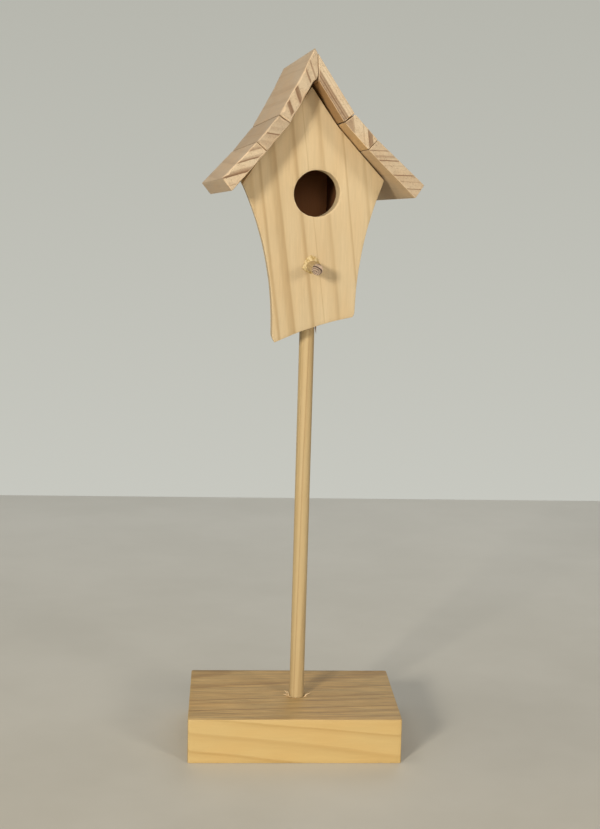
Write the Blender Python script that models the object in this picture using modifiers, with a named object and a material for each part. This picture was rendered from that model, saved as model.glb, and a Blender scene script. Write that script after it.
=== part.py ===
"""Small unpainted pine birdhouse on a dowel pole, standing on a block of board.

The row frame is in metres with +Z up. Its origin is the centre of the block's underside,
and the house's front faces -Y. The house is built in a frame of its own, whose origin is
on the pole's axis at the foot of the front panel, and which stands a little askew on the
pole, as the handmade one does.
"""

import math

import bmesh
import bpy
from mathutils import Matrix, Vector

MM = 0.001
GAP = 0.3 * MM            # left between pieces that touch
COLLECTION = "birdhouse_on_pole"

# base block: a length of planed 19 x 63.5 mm board
BASE_LENGTH = 90.0 * MM
BASE_WIDTH = 63.5 * MM
BASE_HEIGHT = 19.0 * MM
SOCKET_DEPTH = 14.0 * MM

# pole: a quarter inch dowel, leaning slightly to the right
POLE_RADIUS = 3.175 * MM
POLE_LEAN = math.radians(0.44)
POLE_FOOT = Vector((1.8 * MM, -1.4 * MM, BASE_HEIGHT))
POLE_REACH = 160.7 * MM   # from the block's top to the house's origin
POLE_INSIDE = 14.0 * MM   # from the house's origin to the pole's upper end

# how the house stands on the pole
HOUSE_YAW = math.radians(7.1)
HOUSE_PITCH = math.radians(-0.7)
HOUSE_ROLL = math.radians(-2.4)

# panels: both lean outwards, so the house is deeper at the eaves than at the floor
PANEL_THICKNESS = 5.0 * MM
PANEL_LEAN = math.radians(9.2)
PANEL_FOOT = 11.7 * MM    # from the pole's axis to a panel's outer face at the foot
PANEL_SHIFT = 0.4 * MM    # the body sits a little to the right on the pole

# front panel outline, measured up its own face
FRONT_FOOT_HALF = 17.6 * MM      # to the right of the middle
FRONT_FOOT_HALF_LEFT = 17.1 * MM
FRONT_SHOULDER_HALF = 29.0 * MM
FRONT_SHOULDER_RISE = 61.8 * MM
FRONT_STRAIGHT_RISE = 5.0 * MM
FRONT_FOOT_LEFT = -4.1 * MM
FRONT_FOOT_RIGHT = 5.6 * MM
FRONT_FOOT_ARCH = 1.2 * MM
FRONT_CORNER = 0.8 * MM
APEX_DROP = 2.6 * MM      # open slit between the front panel's peak and the ridge

# back panel outline, narrower than the front
BACK_FOOT_HALF = 12.4 * MM
BACK_SHOULDER_HALF = 25.2 * MM
BACK_SHOULDER_RISE = 65.6 * MM
BACK_STRAIGHT_RISE = 12.0 * MM
BACK_FOOT_RISE = 5.5 * MM

HOLE_RADIUS = 9.4 * MM
HOLE_RISE = 57.3 * MM
HOLE_SHIFT = 1.2 * MM     # the hole was drilled a little right of the middle
PERCH_DROOP = math.radians(5.5)   # the perch points a little down; the entrance is level
PERCH_RADIUS = 2.38 * MM
PERCH_RISE = 27.8 * MM
PERCH_SHIFT = -0.5 * MM
PERCH_OUT = 11.5 * MM
PERCH_IN = 6.0 * MM

# side walls and floor
WALL_THICKNESS = 4.0 * MM
WALL_LEAN = math.radians(4.8)
WALL_FOOT_HALF = 12.0 * MM
WALL_FOOT_RISE = 6.0 * MM
FLOOR_THICKNESS = 5.0 * MM
FLOOR_RISE = 7.0 * MM

# roof: three boards a side, steep at the ridge and flatter at the eaves
ROOF_THICKNESS = 5.5 * MM
ROOF_DEPTH = 75.0 * MM
RIDGE_RISE = 111.2 * MM
RIDGE_SHIFT = -0.7 * MM
CROWN = (0.45 * MM, 0.85 * MM)   # the left upper board rises past the mitre, this far left and up
CROWN_RUN = 10.0 * MM            # and thins back to the common line this far down the slope
UPPER_BOARD = (28.8 * MM, math.radians(58.5))
MIDDLE_BOARD = (13.5 * MM, math.radians(48.5))
LOWER_LEFT_BOARD = (19.9 * MM, math.radians(44.2))
LOWER_RIGHT_BOARD = (26.2 * MM, math.radians(43.9))
EAVE_DROP = 1.2 * MM      # the lower boards thicken towards the eaves
GABLE_CLEARANCE = 0.45 * MM

GLUE_HEIGHT = 1.1 * MM
GLUE_FOOT_RADIUS = 3.9 * MM
EDGE_EASE = 0.25 * MM
ARC_POINTS = 14
ROUND_SIDES = 64


def clear_scene():
    for item in list(bpy.data.objects):
        bpy.data.objects.remove(item, do_unlink=True)


def new_collection(name):
    made = bpy.data.collections.new(name)
    bpy.context.scene.collection.children.link(made)
    return made


def wood(name, colour, roughness):
    material = bpy.data.materials.new(name)
    material.use_nodes = True
    shader = material.node_tree.nodes["Principled BSDF"]
    shader.inputs["Base Color"].default_value = (*colour, 1.0)
    shader.inputs["Roughness"].default_value = roughness
    shader.inputs["Metallic"].default_value = 0.0
    return material


def add_object(name, mesh, place, collection, colour, roughness=0.6):
    """Puts a mesh in the scene under a name, with a material of its own."""
    made = bpy.data.objects.new(name, mesh)
    made.matrix_world = place
    collection.objects.link(made)
    mesh.materials.clear()
    mesh.materials.append(wood(name, colour, roughness))
    return made


def outline_mesh(name, outline, thickness):
    """A flat board: a closed 2D curve, filled and extruded, turned into a mesh."""
    curve = bpy.data.curves.new(name, "CURVE")
    curve.dimensions = "2D"
    curve.fill_mode = "BOTH"
    curve.extrude = thickness / 2
    spline = curve.splines.new("POLY")
    spline.points.add(len(outline) - 1)
    for point, (x, y) in zip(spline.points, outline):
        point.co = (x, y, 0.0, 1.0)
    spline.use_cyclic_u = True
    guide = bpy.data.objects.new(name + "_outline", curve)
    bpy.context.scene.collection.objects.link(guide)
    bpy.context.view_layer.update()
    evaluated = guide.evaluated_get(bpy.context.evaluated_depsgraph_get())
    mesh = bpy.data.meshes.new_from_object(evaluated)
    bpy.data.objects.remove(guide, do_unlink=True)
    shape = bmesh.new()
    shape.from_mesh(mesh)
    bmesh.ops.remove_doubles(shape, verts=shape.verts, dist=0.00001)
    bmesh.ops.dissolve_limit(shape, angle_limit=math.radians(0.5),
                             verts=shape.verts, edges=shape.edges)
    bmesh.ops.recalc_face_normals(shape, faces=shape.faces)
    shape.to_mesh(mesh)
    shape.free()
    mesh.name = name
    return mesh


def cylinder_mesh(name, radius_low, radius_high, length, sides=ROUND_SIDES):
    """A closed cylinder or cone along Z, centred on the origin."""
    shape = bmesh.new()
    bmesh.ops.create_cone(shape, cap_ends=True, segments=sides, radius1=radius_low,
                          radius2=radius_high, depth=length)
    mesh = bpy.data.meshes.new(name)
    shape.to_mesh(mesh)
    shape.free()
    return mesh


def along(start, direction, length):
    """Places a centred cylinder so that it runs from start along direction."""
    turn = direction.to_track_quat("Z", "Y").to_matrix().to_4x4()
    return Matrix.Translation(start + direction * (length / 2)) @ turn


def ease_edges(item, width=EDGE_EASE, segments=2):
    bevel = item.modifiers.new("eased edges", "BEVEL")
    bevel.width = width
    bevel.segments = segments
    bevel.limit_method = "ANGLE"
    bevel.angle_limit = math.radians(35)
    bevel.use_clamp_overlap = True


def drill(item, name, radius, start, direction, length, cutters):
    """Cuts a round hole from start along direction."""
    cutter = bpy.data.objects.new(name, cylinder_mesh(name, radius, radius, length))
    cutter.matrix_world = along(start, direction, length)
    cutters.objects.link(cutter)
    cutter.hide_render = True
    cutter.display_type = "WIRE"
    cut = item.modifiers.new(name, "BOOLEAN")
    cut.operation = "DIFFERENCE"
    cut.solver = "EXACT"
    cut.object = cutter


def shade_round(item):
    item.data.shade_smooth()
    item.data.set_sharp_from_angle(angle=math.radians(35))


def concave_half(foot, shoulder, straight_rise, shoulder_rise):
    """Half widths of a side that is upright at the foot and then flares on a round arc."""
    rise = shoulder_rise - straight_rise
    flare = shoulder - foot
    radius = (rise * rise + flare * flare) / (2 * flare)
    points = []
    for step in range(ARC_POINTS + 1):
        up = rise * step / ARC_POINTS
        points.append((foot + radius - math.sqrt(radius * radius - up * up),
                       straight_rise + up))
    return points


def roof_profile(lower_board):
    """Outer and inner corners of one side, from the ridge out, as (distance, height)."""
    boards = (UPPER_BOARD, MIDDLE_BOARD, lower_board)
    outer = [(0.0, RIDGE_RISE)]
    for width, slope in boards:
        x, z = outer[-1]
        outer.append((x + width * math.cos(slope), z - width * math.sin(slope)))
    first, last = boards[0][1], boards[-1][1]
    inner = [(0.0, RIDGE_RISE - ROOF_THICKNESS / math.cos(first))]
    for index in (1, 2):
        above, below = boards[index - 1][1], boards[index][1]
        middle = (above + below) / 2
        reach = ROOF_THICKNESS / math.cos((above - below) / 2)
        x, z = outer[index]
        inner.append((x - reach * math.sin(middle), z - reach * math.cos(middle)))
    x, z = outer[3]
    inner.append((x - ROOF_THICKNESS * math.sin(last),
                  z - ROOF_THICKNESS * math.cos(last) - EAVE_DROP))
    return outer, inner


def underside(distance, lower_board=LOWER_RIGHT_BOARD):
    """Height of the roof's underside at a distance from the ridge."""
    inner = roof_profile(lower_board)[1]
    for (x0, z0), (x1, z1) in zip(inner, inner[1:]):
        if distance <= x1:
            break
    return z0 + (z1 - z0) * (distance - x0) / (x1 - x0)


def shrink(quad, amount):
    """Moves the first and last edges of a board's section inwards along the board."""
    outer_start, outer_end, inner_end, inner_start = (Vector(p) for p in quad)
    run = (outer_end - outer_start).normalized() * amount
    return [outer_start + run, outer_end - run, inner_end - run, inner_start + run]


def gable(shift, peak_drop, shoulder):
    """The top of a panel, under the roof: right shoulder, peak and left shoulder."""
    cosine = math.cos(PANEL_LEAN)
    inner = roof_profile(LOWER_RIGHT_BOARD)[1]
    clear = GABLE_CLEARANCE + PANEL_THICKNESS / 2 * math.sin(PANEL_LEAN)
    right = [(RIDGE_SHIFT + x, (z - clear) / cosine) for x, z in inner[1:3]]
    left = [(RIDGE_SHIFT - x, (z - clear) / cosine) for x, z in inner[1:3]]
    peak = (RIDGE_SHIFT, (inner[0][1] - peak_drop) / cosine)
    half, rise = shoulder
    points = [(shift + half, rise)] + right[::-1] + [peak] + left + [(shift - half, rise)]
    return points


def front_outline():
    halves = [concave_half(foot, FRONT_SHOULDER_HALF, FRONT_STRAIGHT_RISE,
                           FRONT_SHOULDER_RISE)[1:-1]
              for foot in (FRONT_FOOT_HALF, FRONT_FOOT_HALF_LEFT)]
    right = [(PANEL_SHIFT + x, z) for x, z in halves[0]]
    left = [(PANEL_SHIFT - x, z) for x, z in halves[1]]
    low = Vector((PANEL_SHIFT - FRONT_FOOT_HALF_LEFT + FRONT_CORNER, FRONT_FOOT_LEFT))
    high = Vector((PANEL_SHIFT + FRONT_FOOT_HALF - FRONT_CORNER, FRONT_FOOT_RIGHT))
    foot = []
    for step in range(9):
        t = step / 8
        point = low.lerp(high, t)
        foot.append((point.x, point.y + FRONT_FOOT_ARCH * 4 * t * (1 - t)))
    corner_right = (PANEL_SHIFT + FRONT_FOOT_HALF, FRONT_FOOT_RIGHT + 2 * FRONT_CORNER)
    corner_left = (PANEL_SHIFT - FRONT_FOOT_HALF_LEFT, FRONT_FOOT_LEFT + 3 * FRONT_CORNER)
    top = gable(PANEL_SHIFT, APEX_DROP, (FRONT_SHOULDER_HALF, FRONT_SHOULDER_RISE))
    right = [point for point in right if point[1] > corner_right[1] + FRONT_CORNER]
    return foot + [corner_right] + right + top + left[::-1] + [corner_left]


def back_outline():
    side = concave_half(BACK_FOOT_HALF, BACK_SHOULDER_HALF, BACK_STRAIGHT_RISE,
                        BACK_SHOULDER_RISE)
    right = [(PANEL_SHIFT + x, z) for x, z in side[:-1]]
    left = [(PANEL_SHIFT - x, z) for x, z in side[:-1]]
    foot = [(PANEL_SHIFT - BACK_FOOT_HALF, BACK_FOOT_RISE),
            (PANEL_SHIFT + BACK_FOOT_HALF, BACK_FOOT_RISE)]
    top = gable(PANEL_SHIFT, 2 * GABLE_CLEARANCE, (BACK_SHOULDER_HALF, BACK_SHOULDER_RISE))
    return foot + right + top + left[::-1]


def panel_place(facing):
    """Frame of a panel's middle plane: +1 is the front, -1 the back. Local Y runs up it."""
    turn = Matrix.Rotation(math.radians(90) + facing * PANEL_LEAN, 4, "X")
    cosine, sine = math.cos(PANEL_LEAN), math.sin(PANEL_LEAN)
    inwards = Vector((0.0, facing * cosine, sine)) * (PANEL_THICKNESS / 2)
    return Matrix.Translation(Vector((0.0, -facing * PANEL_FOOT, 0.0)) + inwards) @ turn


def wall_outline():
    """A side wall in its own plane: depth along X, up the wall along Y."""
    cosine = math.cos(WALL_LEAN)
    foot_outer = PANEL_FOOT - PANEL_THICKNESS / math.cos(PANEL_LEAN) - GAP
    slope = math.tan(PANEL_LEAN)
    top_distance = WALL_FOOT_HALF + abs(RIDGE_SHIFT - PANEL_SHIFT)
    top = underside(top_distance)
    for _ in range(8):                     # the wall leans, so its top moves outwards
        distance = top_distance + (top - WALL_FOOT_RISE) * math.tan(WALL_LEAN)
        top = underside(distance) - GABLE_CLEARANCE
    corners = []
    for rise, side in ((WALL_FOOT_RISE, -1), (WALL_FOOT_RISE, 1), (top, 1), (top, -1)):
        corners.append((side * (foot_outer + rise * slope), (rise - WALL_FOOT_RISE) / cosine))
    return corners


def wall_place(side):
    """Frame of a wall's middle plane: side is -1 for the left and +1 for the right."""
    foot = Vector((PANEL_SHIFT + side * WALL_FOOT_HALF, 0.0, WALL_FOOT_RISE))
    upright = Matrix(((0, 0, 1, 0), (1, 0, 0, 0), (0, 1, 0, 0), (0, 0, 0, 1)))
    lean = Matrix.Rotation(side * WALL_LEAN, 4, "Y")
    inset = Matrix.Translation((-side * WALL_THICKNESS / 2, 0.0, 0.0))
    return Matrix.Translation(foot) @ lean @ inset @ upright


def floor_outline():
    rise = FLOOR_RISE + FLOOR_THICKNESS / 2
    half = WALL_FOOT_HALF + (FLOOR_RISE - WALL_FOOT_RISE) * math.tan(WALL_LEAN)
    half -= WALL_THICKNESS / math.cos(WALL_LEAN) + GAP
    depth = PANEL_FOOT - PANEL_THICKNESS / math.cos(PANEL_LEAN) - GAP
    depth += (rise - FLOOR_THICKNESS / 2) * math.tan(PANEL_LEAN)
    return [(PANEL_SHIFT - half, -depth), (PANEL_SHIFT + half, -depth),
            (PANEL_SHIFT + half, depth), (PANEL_SHIFT - half, depth)]


PINE_FACE = (0.74, 0.55, 0.31)
PINE_ROOF = (0.50, 0.37, 0.22)
PINE_BASE = (0.62, 0.41, 0.20)
DOWEL = (0.60, 0.41, 0.20)
GLUE = (0.55, 0.36, 0.12)


def build_base(parts, cutters, pole_direction):
    shape = bmesh.new()
    bmesh.ops.create_cube(shape, size=1.0)
    bmesh.ops.scale(shape, vec=(BASE_LENGTH, BASE_WIDTH, BASE_HEIGHT), verts=shape.verts)
    mesh = bpy.data.meshes.new("base_block")
    shape.to_mesh(mesh)
    shape.free()
    place = Matrix.Translation((0.0, 0.0, BASE_HEIGHT / 2))
    block = add_object("base_block", mesh, place, parts, PINE_BASE)
    ease_edges(block, width=0.5 * MM)
    start = POLE_FOOT - pole_direction * (SOCKET_DEPTH + GAP)
    drill(block, "socket_cutter", POLE_RADIUS + GAP, start, pole_direction,
          2 * SOCKET_DEPTH, cutters)


def build_pole(parts, pole_direction):
    length = SOCKET_DEPTH + POLE_REACH + POLE_INSIDE
    mesh = cylinder_mesh("pole_dowel", POLE_RADIUS, POLE_RADIUS, length, sides=48)
    place = along(POLE_FOOT - pole_direction * SOCKET_DEPTH, pole_direction, length)
    pole = add_object("pole_dowel", mesh, place, parts, DOWEL)
    shade_round(pole)


def build_front(parts, cutters, house):
    mesh = outline_mesh("front_panel", front_outline(), PANEL_THICKNESS)
    place = house @ panel_place(1)
    front = add_object("front_panel", mesh, place, parts, PINE_FACE)
    ease_edges(front)
    reach = 4 * PANEL_THICKNESS
    for name, x, rise, radius, droop in (
            ("entrance_cutter", HOLE_SHIFT, HOLE_RISE, HOLE_RADIUS, 0.0),
            ("perch_cutter", PERCH_SHIFT, PERCH_RISE, PERCH_RADIUS + GAP, PERCH_DROOP)):
        outwards = forwards(house, droop)
        centre = place @ Vector((PANEL_SHIFT + x, rise, PANEL_THICKNESS / 2))
        drill(front, name, radius, centre - outwards * reach / 2, outwards, reach, cutters)
    return place


def forwards(house, droop):
    """The way out through the front of the house, turned down by an angle."""
    return house.to_3x3() @ Vector((0.0, -math.cos(droop), -math.sin(droop)))


def build_perch(parts, house, place):
    outwards = forwards(house, PERCH_DROOP)
    foot = place @ Vector((PANEL_SHIFT + PERCH_SHIFT, PERCH_RISE, PANEL_THICKNESS / 2))
    length = PERCH_OUT + PERCH_IN
    mesh = cylinder_mesh("perch_dowel", PERCH_RADIUS, PERCH_RADIUS, length, sides=40)
    perch = add_object("perch_dowel", mesh, along(foot - outwards * PERCH_IN, outwards, length),
                       parts, DOWEL)
    shade_round(perch)
    ease_edges(perch, width=0.2 * MM)
    normal = place.to_3x3() @ Vector((0.0, 0.0, 1.0))
    turn = normal.to_track_quat("Z", "Y").to_matrix().to_4x4()
    bead = add_object("perch_glue", glue_ring(), Matrix.Translation(foot + normal * GAP) @ turn,
                      parts, GLUE, roughness=0.2)
    shade_round(bead)


def glue_ring():
    """A bead round the perch's foot: its section, spun once round the perch's axis."""
    inside = PERCH_RADIUS + GAP
    section = ((inside, 0.0), (GLUE_FOOT_RADIUS, 0.0), (GLUE_FOOT_RADIUS - 0.3 * MM, 0.4 * MM),
               (inside + 0.3 * MM, GLUE_HEIGHT), (inside, GLUE_HEIGHT))
    shape = bmesh.new()
    points = [shape.verts.new((x, 0.0, z)) for x, z in section]
    edges = [shape.edges.new((a, b)) for a, b in zip(points, points[1:] + points[:1])]
    bmesh.ops.spin(shape, geom=points + edges, axis=(0, 0, 1), cent=(0, 0, 0), steps=40,
                   angle=math.tau, use_merge=True)
    bmesh.ops.remove_doubles(shape, verts=shape.verts, dist=0.00001)
    bmesh.ops.recalc_face_normals(shape, faces=shape.faces)
    mesh = bpy.data.meshes.new("perch_glue")
    shape.to_mesh(mesh)
    shape.free()
    return mesh


def build_body(parts, cutters, house, pole_direction):
    mesh = outline_mesh("back_panel", back_outline(), PANEL_THICKNESS)
    back = add_object("back_panel", mesh, house @ panel_place(-1), parts, PINE_FACE)
    ease_edges(back)
    for name, side in (("left_wall", -1), ("right_wall", 1)):
        mesh = outline_mesh(name, wall_outline(), WALL_THICKNESS)
        wall = add_object(name, mesh, house @ wall_place(side), parts, PINE_FACE)
        ease_edges(wall, width=0.2 * MM)
    mesh = outline_mesh("floor_board", floor_outline(), FLOOR_THICKNESS)
    middle = Matrix.Translation((0.0, 0.0, FLOOR_RISE + FLOOR_THICKNESS / 2))
    floor = add_object("floor_board", mesh, house @ middle, parts, PINE_FACE)
    start = house.translation - pole_direction * POLE_INSIDE
    drill(floor, "floor_cutter", POLE_RADIUS + GAP, start, pole_direction,
          3 * POLE_INSIDE, cutters)


def with_crown(section):
    """The left upper board's outline with its ridge end raised. It starts at the ridge."""
    ridge, eave = Vector(section[0]), Vector(section[1])
    crown = (ridge.x - CROWN[0], ridge.y + CROWN[1])
    back = ridge + (eave - ridge).normalized() * CROWN_RUN
    return [section[0], crown, (back.x, back.y), *section[1:]]


def build_roof(parts, house):
    names = ("upper", "middle", "lower")
    upright = Matrix.Rotation(math.radians(90), 4, "X")
    for side_name, side, lower in (("left", -1, LOWER_LEFT_BOARD),
                                   ("right", 1, LOWER_RIGHT_BOARD)):
        outer, inner = roof_profile(lower)
        for index, name in enumerate(names):
            quad = (outer[index], outer[index + 1], inner[index + 1], inner[index])
            section = [(RIDGE_SHIFT + side * p.x, p.y) for p in shrink(quad, GAP / 2)]
            if (side, index) == (-1, 0):
                section = with_crown(section)
            title = f"roof_{side_name}_{name}"
            mesh = outline_mesh(title, section, ROOF_DEPTH)
            board = add_object(title, mesh, house @ upright, parts, PINE_ROOF)
            ease_edges(board)


def main():
    clear_scene()
    parts = new_collection(COLLECTION)
    cutters = new_collection("cutters")
    pole_direction = Vector((math.sin(POLE_LEAN), 0.0, math.cos(POLE_LEAN)))
    turn = (Matrix.Rotation(HOUSE_YAW, 4, "Z") @ Matrix.Rotation(HOUSE_PITCH, 4, "X")
            @ Matrix.Rotation(HOUSE_ROLL, 4, "Y"))
    house = Matrix.Translation(POLE_FOOT + pole_direction * POLE_REACH) @ turn
    build_base(parts, cutters, pole_direction)
    build_pole(parts, pole_direction)
    place = build_front(parts, cutters, house)
    build_perch(parts, house, place)
    build_body(parts, cutters, house, pole_direction)
    build_roof(parts, house)


main()
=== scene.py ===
"""Looks, light and camera for the small pine birdhouse on a pole.

Each CAD node is replaced by a finer mesh of the same piece, built in that piece's own frame,
so that its wood grain is a solid pattern that runs through faces, edges and ends alike.
Lengths in this file are millimetres unless a name says otherwise; meshes are made in metres.
"""

import math
import random

import bmesh
import bpy
from mathutils import Matrix, Vector, geometry, noise


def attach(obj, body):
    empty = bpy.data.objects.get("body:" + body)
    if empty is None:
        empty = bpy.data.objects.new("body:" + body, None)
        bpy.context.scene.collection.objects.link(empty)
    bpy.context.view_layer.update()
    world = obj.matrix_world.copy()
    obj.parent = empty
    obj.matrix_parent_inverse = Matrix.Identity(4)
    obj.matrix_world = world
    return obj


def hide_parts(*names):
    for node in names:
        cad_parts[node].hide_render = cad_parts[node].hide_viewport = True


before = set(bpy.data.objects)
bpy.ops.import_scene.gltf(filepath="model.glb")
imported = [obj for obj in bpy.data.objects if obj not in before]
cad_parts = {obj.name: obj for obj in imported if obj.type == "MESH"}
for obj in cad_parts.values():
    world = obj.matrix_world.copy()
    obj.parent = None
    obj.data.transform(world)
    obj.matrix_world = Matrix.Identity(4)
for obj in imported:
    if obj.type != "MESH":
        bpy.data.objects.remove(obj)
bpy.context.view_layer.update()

METRE = 0.001

# ------------------------------------------------------------------ sizes, as in the CAD model
GAP = 0.3
BASE = (90.0, 63.5, 19.0)
SOCKET_DEPTH = 14.0
POLE_RADIUS = 3.175
POLE_LEAN = math.radians(0.44)
POLE_FOOT = Vector((1.8, -1.4, 19.0))
POLE_REACH = 160.7
POLE_INSIDE = 14.0
HOUSE_YAW, HOUSE_PITCH, HOUSE_ROLL = math.radians(7.1), math.radians(-0.7), math.radians(-2.4)
PANEL_THICKNESS = 5.0
PANEL_LEAN = math.radians(9.2)
PANEL_FOOT = 11.7
PANEL_SHIFT = 0.4
HOLE_RADIUS, HOLE_RISE, HOLE_SHIFT = 9.4, 57.3, 1.2
PERCH_RADIUS, PERCH_RISE, PERCH_SHIFT = 2.38, 27.8, -0.5
PERCH_OUT, PERCH_IN = 11.5, 6.0
WALL_THICKNESS, WALL_LEAN = 4.0, math.radians(4.8)
WALL_FOOT_HALF, WALL_FOOT_RISE = 12.0, 6.0
FLOOR_THICKNESS, FLOOR_RISE = 5.0, 7.0
ROOF_THICKNESS, ROOF_DEPTH = 5.5, 75.0
RIDGE_RISE, RIDGE_SHIFT = 111.2, -0.7
UPPER_BOARD = (28.8, math.radians(58.5))
MIDDLE_BOARD = (13.5, math.radians(48.5))
LOWER_LEFT_BOARD = (19.9, math.radians(44.2))
LOWER_RIGHT_BOARD = (26.2, math.radians(43.9))
EAVE_DROP = 1.2
PERCH_DROOP = math.radians(5.5)
FRONT_FOOT_HALF, FRONT_FOOT_HALF_LEFT, FRONT_SHOULDER_HALF = 17.6, 17.1, 29.0
FRONT_STRAIGHT_RISE, FRONT_SHOULDER_RISE, FRONT_PEAK_DROP = 5.0, 61.8, 2.6
FRONT_FOOT_LEFT, FRONT_FOOT_RIGHT = -4.1, 5.6     # heights of the slanted foot's two ends
FRONT_FOOT_ARCH, FRONT_CORNER = 1.2, 0.8
BACK_FOOT_HALF, BACK_FOOT_RISE, BACK_SHOULDER_HALF = 12.4, 5.5, 25.2
BACK_STRAIGHT_RISE, BACK_SHOULDER_RISE, BACK_PEAK_DROP = 12.0, 65.6, 1.5
CROWN, CROWN_RUN = (0.45, 0.85), 10.0   # the left upper board rises past the common mitre

# ------------------------------------------------------------------ small departures from the CAD
GABLE_CLEARANCE = 0.15    # the panels reach closer to the roof
BORE_STRAY = 0.13         # the entrance's bore strays left by this share of its depth
RIDGE_LAP = 0.8           # the left upper board laps over the right one at the ridge
LAP_GAP = 0.06            # between the two boards at that lap
CROWN_INSET = 0.1         # keeps the crown's worn edge below the CAD model's
ROOF_TRIM = 0.3           # keeps the uneven ends inside the CAD model's box
EAVE_TRIM = 0.35
JOINT_GAPS = {("left", 0): 0.08, ("left", 1): 0.05, ("right", 0): 0.28, ("right", 1): 0.06}
ROUNDING = 0.293          # where a quarter circle's middle lies, as a share of its radius


# ------------------------------------------------------------------ material graph helpers
class Graph:
    """Short ways to add shader nodes and wire them."""

    def __init__(self, name):
        self.material = bpy.data.materials.new(name)
        self.material.use_nodes = True
        self.tree = self.material.node_tree
        self.shader = self.tree.nodes["Principled BSDF"]

    def wire(self, value, socket):
        if isinstance(value, bpy.types.NodeSocket):
            self.tree.links.new(value, socket)
        elif value is not None:
            socket.default_value = value

    def node(self, kind, inputs=(), **settings):
        made = self.tree.nodes.new(kind)
        for key, value in settings.items():
            setattr(made, key, value)
        for key, value in dict(inputs).items():
            self.wire(value, made.inputs[key])
        return made

    def math(self, operation, a, b=None, c=None):
        made = self.node("ShaderNodeMath", operation=operation)
        for index, value in enumerate((a, b, c)):
            self.wire(value, made.inputs[index])
        return made.outputs[0]

    def vector(self, operation, a, b=None, scale=None):
        made = self.node("ShaderNodeVectorMath", operation=operation)
        self.wire(a, made.inputs[0])
        if b is not None:
            self.wire(b, made.inputs[1])
        if scale is not None:
            self.wire(scale, made.inputs["Scale"])
        return made.outputs["Value" if operation in ("DOT_PRODUCT", "LENGTH") else "Vector"]

    def noise(self, where, scale=1.0, detail=2.0, rough=0.5, colour=False):
        made = self.node("ShaderNodeTexNoise", {"Vector": where, "Scale": scale, "Detail": detail,
                                                "Roughness": rough})
        return made.outputs["Color" if colour else "Fac"]

    def ramp(self, factor, stops):
        made = self.node("ShaderNodeValToRGB", {"Fac": factor})
        bar = made.color_ramp
        bar.interpolation = "EASE"
        while len(bar.elements) < len(stops):
            bar.elements.new(0.5)
        for element, (place, value) in zip(bar.elements, stops):
            element.position = place
            colour = value if isinstance(value, tuple) else (value, value, value)
            element.color = (*colour, 1.0)
        return made.outputs["Color"]

    def mix(self, factor, a, b, blend="MIX"):
        made = self.node("ShaderNodeMix", data_type="RGBA", blend_type=blend)
        self.wire(factor, made.inputs["Factor"])
        self.wire((*a, 1.0) if isinstance(a, tuple) else a, made.inputs["A"])
        self.wire((*b, 1.0) if isinstance(b, tuple) else b, made.inputs["B"])
        return made.outputs["Result"]

    def span(self, value, low, high, to_low, to_high):
        made = self.node("ShaderNodeMapRange", {"Value": value, "From Min": low, "From Max": high,
                                                "To Min": to_low, "To Max": to_high})
        return made.outputs["Result"]


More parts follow.
